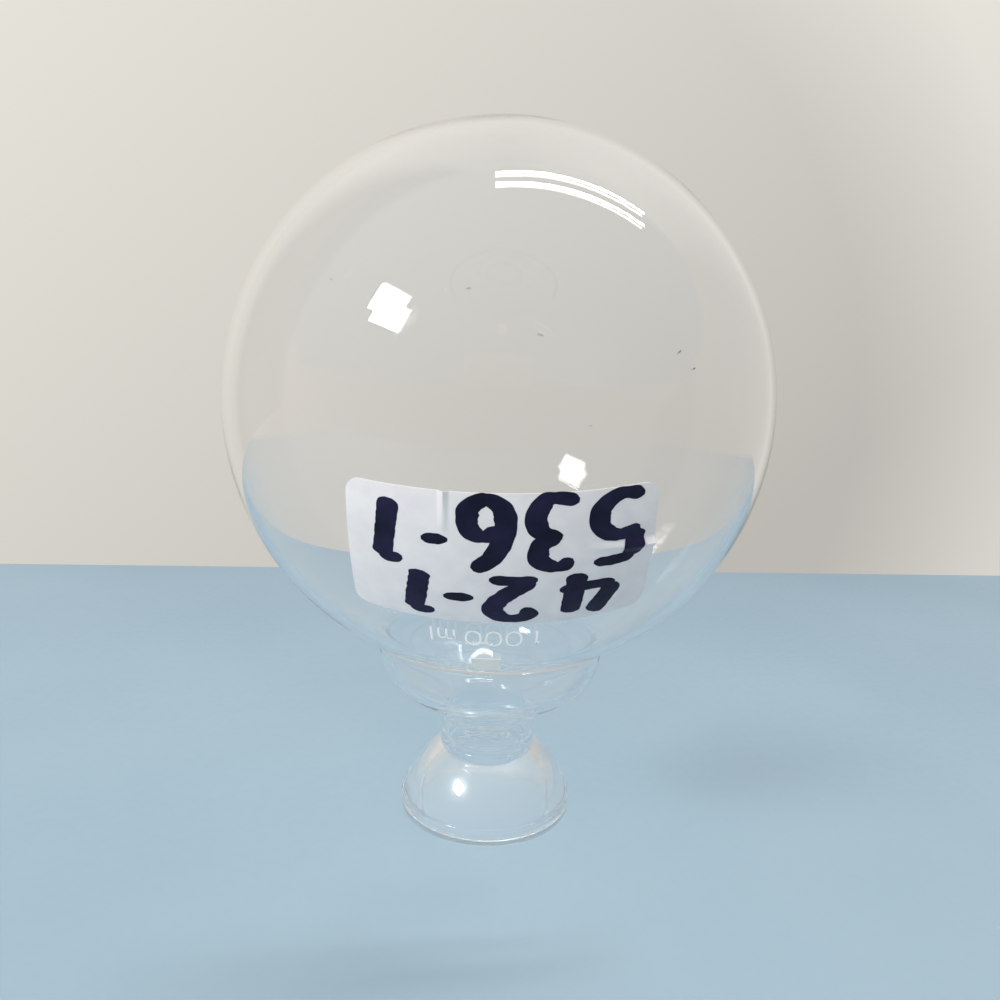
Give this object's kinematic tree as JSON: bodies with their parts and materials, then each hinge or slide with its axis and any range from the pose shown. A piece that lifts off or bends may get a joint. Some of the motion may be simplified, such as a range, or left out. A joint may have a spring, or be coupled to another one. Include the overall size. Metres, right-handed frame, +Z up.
{
  "type": "round bottom flask",
  "caption": "Clear glass round bottom flask with a spherical bulb, a bowl-shaped shoulder, a short neck, a ground spherical joint socket and a paper label on its side.",
  "frame": {"origin": "centre of the socket's flat rim face, which the flask stands on upside down", "axes": "+Z up along the turning axis, from the socket's rim to the pole of the bulb; -Y out through the middle of the label's side; +X to the right seen from the label's side"},
  "size_m": [0.131, 0.131, 0.1708],
  "materials": {
    "clear_glass": "clear flame-polished borosilicate glass",
    "ground_glass": "clear glass with a finely ground seat",
    "label_paper": "matt white self-adhesive paper",
    "cream_enamel": "fired-on cream enamel",
    "white_enamel": "thin fired-on white enamel lines",
    "marker_ink": "dried dark marker ink with a faint sheen"
  },
  "bodies": {
    "root": {"bulb": "clear_glass", "shoulder": "clear_glass", "neck": "clear_glass", "socket": "ground_glass", "label": "label_paper", "marking_patch": "cream_enamel"}
  },
  "joints": []
}
